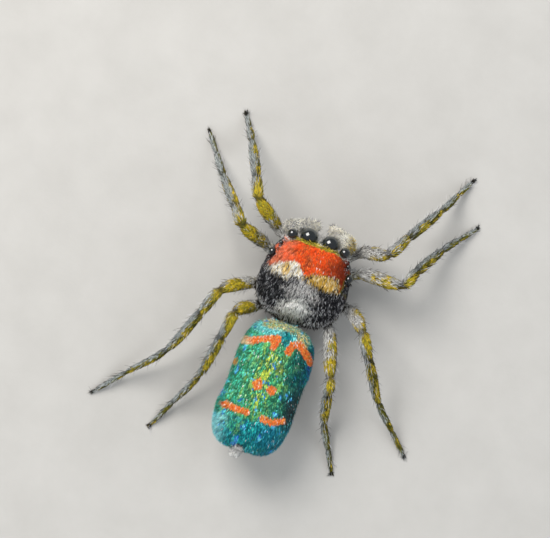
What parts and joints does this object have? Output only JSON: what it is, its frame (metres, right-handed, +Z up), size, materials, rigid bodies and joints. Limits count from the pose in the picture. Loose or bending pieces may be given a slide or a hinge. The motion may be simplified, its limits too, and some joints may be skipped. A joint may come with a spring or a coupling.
{
  "type": "peacock spider",
  "caption": "Still, life-size male peacock spider on spread legs, with large dark front eyes, white palp brushes, a red band behind the eyes and a green and blue abdomen barred with orange.",
  "frame": {"origin": "on the floor, below the middle of the box round the spread legs", "axes": "+Z up, the head faces -Y, the animal's left side is +X; the line down the chest lies along Y"},
  "size_m": [0.0064, 0.007, 0.0016],
  "materials": {
    "carapace_coat": "short grey and black hair with a red band and cream patches",
    "fan_scales": "green and blue scales with orange bars",
    "leg_coat": "olive yellow skin with grey and black hair",
    "white_brush": "long white hair",
    "eye_lens": "polished black lens",
    "horn": "dark satin cuticle",
    "underside": "dark brown skin with thin grey hair"
  },
  "bodies": {
    "root": {"abdomen": "fan_scales", "carapace": "carapace_coat", "eye_front_middle_left": "eye_lens", "eye_front_middle_right": "eye_lens", "eye_front_side_left": "eye_lens", "eye_front_side_right": "eye_lens", "eye_rear_middle_left": "eye_lens", "eye_rear_middle_right": "eye_lens", "eye_rear_side_left": "eye_lens", "eye_rear_side_right": "eye_lens", "fan_flap_left": "fan_scales", "fan_flap_right": "fan_scales", "jaw_left": "horn", "jaw_right": "horn", "leg_1_left_foot": "leg_coat", "leg_1_left_shank": "leg_coat", "leg_1_left_thigh": "leg_coat", "leg_1_right_foot": "leg_coat", "leg_1_right_shank": "leg_coat", "leg_1_right_thigh": "leg_coat", "leg_2_left_foot": "leg_coat", "leg_2_left_shank": "leg_coat", "leg_2_left_thigh": "leg_coat", "leg_2_right_foot": "leg_coat", "leg_2_right_shank": "leg_coat", "leg_2_right_thigh": "leg_coat", "leg_3_left_foot": "leg_coat", "leg_3_left_shank": "leg_coat", "leg_3_left_thigh": "leg_coat", "leg_3_right_foot": "leg_coat", "leg_3_right_shank": "leg_coat", "leg_3_right_thigh": "leg_coat", "leg_4_left_foot": "leg_coat", "leg_4_left_shank": "leg_coat", "leg_4_left_thigh": "leg_coat", "leg_4_right_foot": "leg_coat", "leg_4_right_shank": "leg_coat", "leg_4_right_thigh": "leg_coat", "mouth": "underside", "palp_arm_left": "underside", "palp_arm_right": "underside", "palp_club_left": "white_brush", "palp_club_right": "white_brush", "spinnerets": "white_brush", "sternum": "underside", "waist": "underside"}
  },
  "joints": []
}
